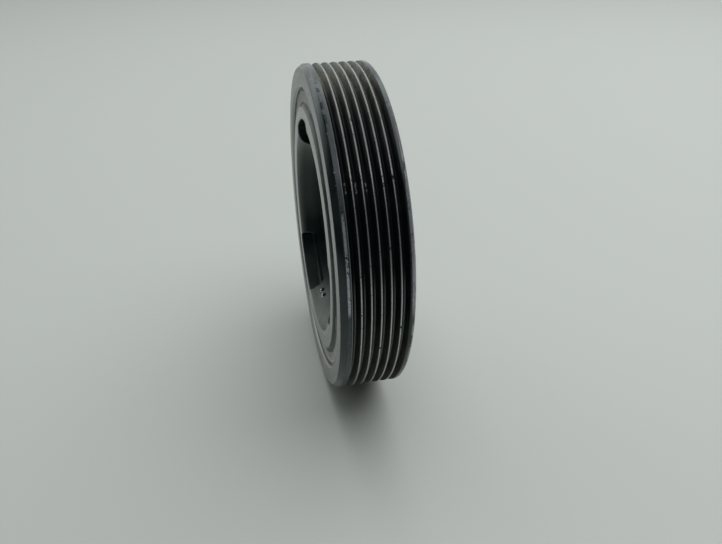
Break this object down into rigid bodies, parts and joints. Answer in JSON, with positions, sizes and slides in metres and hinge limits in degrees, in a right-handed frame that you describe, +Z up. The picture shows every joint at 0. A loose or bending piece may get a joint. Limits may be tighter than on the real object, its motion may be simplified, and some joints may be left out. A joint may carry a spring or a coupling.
{
  "type": "harmonic balancer",
  "caption": "Crankshaft torsional damper: a grooved belt ring bonded by a rubber ring to a dished iron hub with arc windows and a keyed bore.",
  "frame": {"origin": "on the crankshaft axis, in the plane of the belt track's middle crest", "axes": "+Y along the crankshaft axis towards the engine, the dished front faces -Y; +Z up as the part stands on its rim"},
  "size_m": [0.1376, 0.0329, 0.1376],
  "materials": {
    "hub_iron": "satin dark coating, machined face",
    "bonded_rubber": "matt, dusty",
    "ring_iron": "satin dark coating, worn bright on the crests"
  },
  "bodies": {
    "root": {"hub": "hub_iron", "rubber_ring": "bonded_rubber", "inertia_ring": "ring_iron"}
  },
  "joints": []
}
